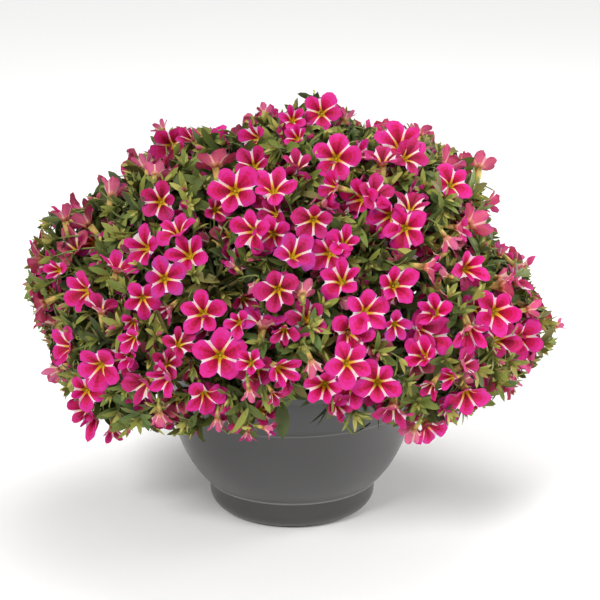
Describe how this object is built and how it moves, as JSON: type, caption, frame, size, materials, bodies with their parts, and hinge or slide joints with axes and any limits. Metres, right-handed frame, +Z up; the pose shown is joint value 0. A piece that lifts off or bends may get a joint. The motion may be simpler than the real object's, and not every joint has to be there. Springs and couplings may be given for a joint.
{
  "type": "potted calibrachoa",
  "caption": "Round grey plastic bowl filled by a domed trailing garden plant with star-striped magenta trumpet flowers and small green leaves.",
  "frame": {"origin": "middle of the bowl's flat underside, which the plant stands on", "axes": "+Z up along the bowl's axis, -Y towards the front that the picture shows, +X to its right"},
  "size_m": [0.4363, 0.3977, 0.3352],
  "materials": {
    "pot_plastic": "satin anthracite grey",
    "potting_soil": "moist and crumbly",
    "stem_bark": "green-brown and dull",
    "leaves_and_blossom": "matte leaves with satin petals"
  },
  "bodies": {
    "root": {"pot": "pot_plastic", "soil": "potting_soil", "trunk": "stem_bark", "bough_upper_back_right": "stem_bark", "bough_upper_back": "stem_bark", "bough_upper_back_left": "stem_bark", "bough_upper_front_left": "stem_bark", "bough_upper_front": "stem_bark", "bough_upper_front_right": "stem_bark", "bough_right": "stem_bark", "bough_back_right": "stem_bark", "bough_back": "stem_bark", "bough_back_left": "stem_bark", "bough_left": "stem_bark", "bough_front_left": "stem_bark", "bough_front": "stem_bark", "bough_front_right": "stem_bark", "foliage_top": "leaves_and_blossom", "foliage_upper_back_right": "leaves_and_blossom", "foliage_upper_back": "leaves_and_blossom", "foliage_upper_back_left": "leaves_and_blossom", "foliage_upper_front_left": "leaves_and_blossom", "foliage_upper_front": "leaves_and_blossom", "foliage_upper_front_right": "leaves_and_blossom", "foliage_right": "leaves_and_blossom", "foliage_back_right": "leaves_and_blossom", "foliage_back": "leaves_and_blossom", "foliage_back_left": "leaves_and_blossom", "foliage_left": "leaves_and_blossom", "foliage_front_left": "leaves_and_blossom", "foliage_front": "leaves_and_blossom", "foliage_front_right": "leaves_and_blossom"}
  },
  "joints": []
}
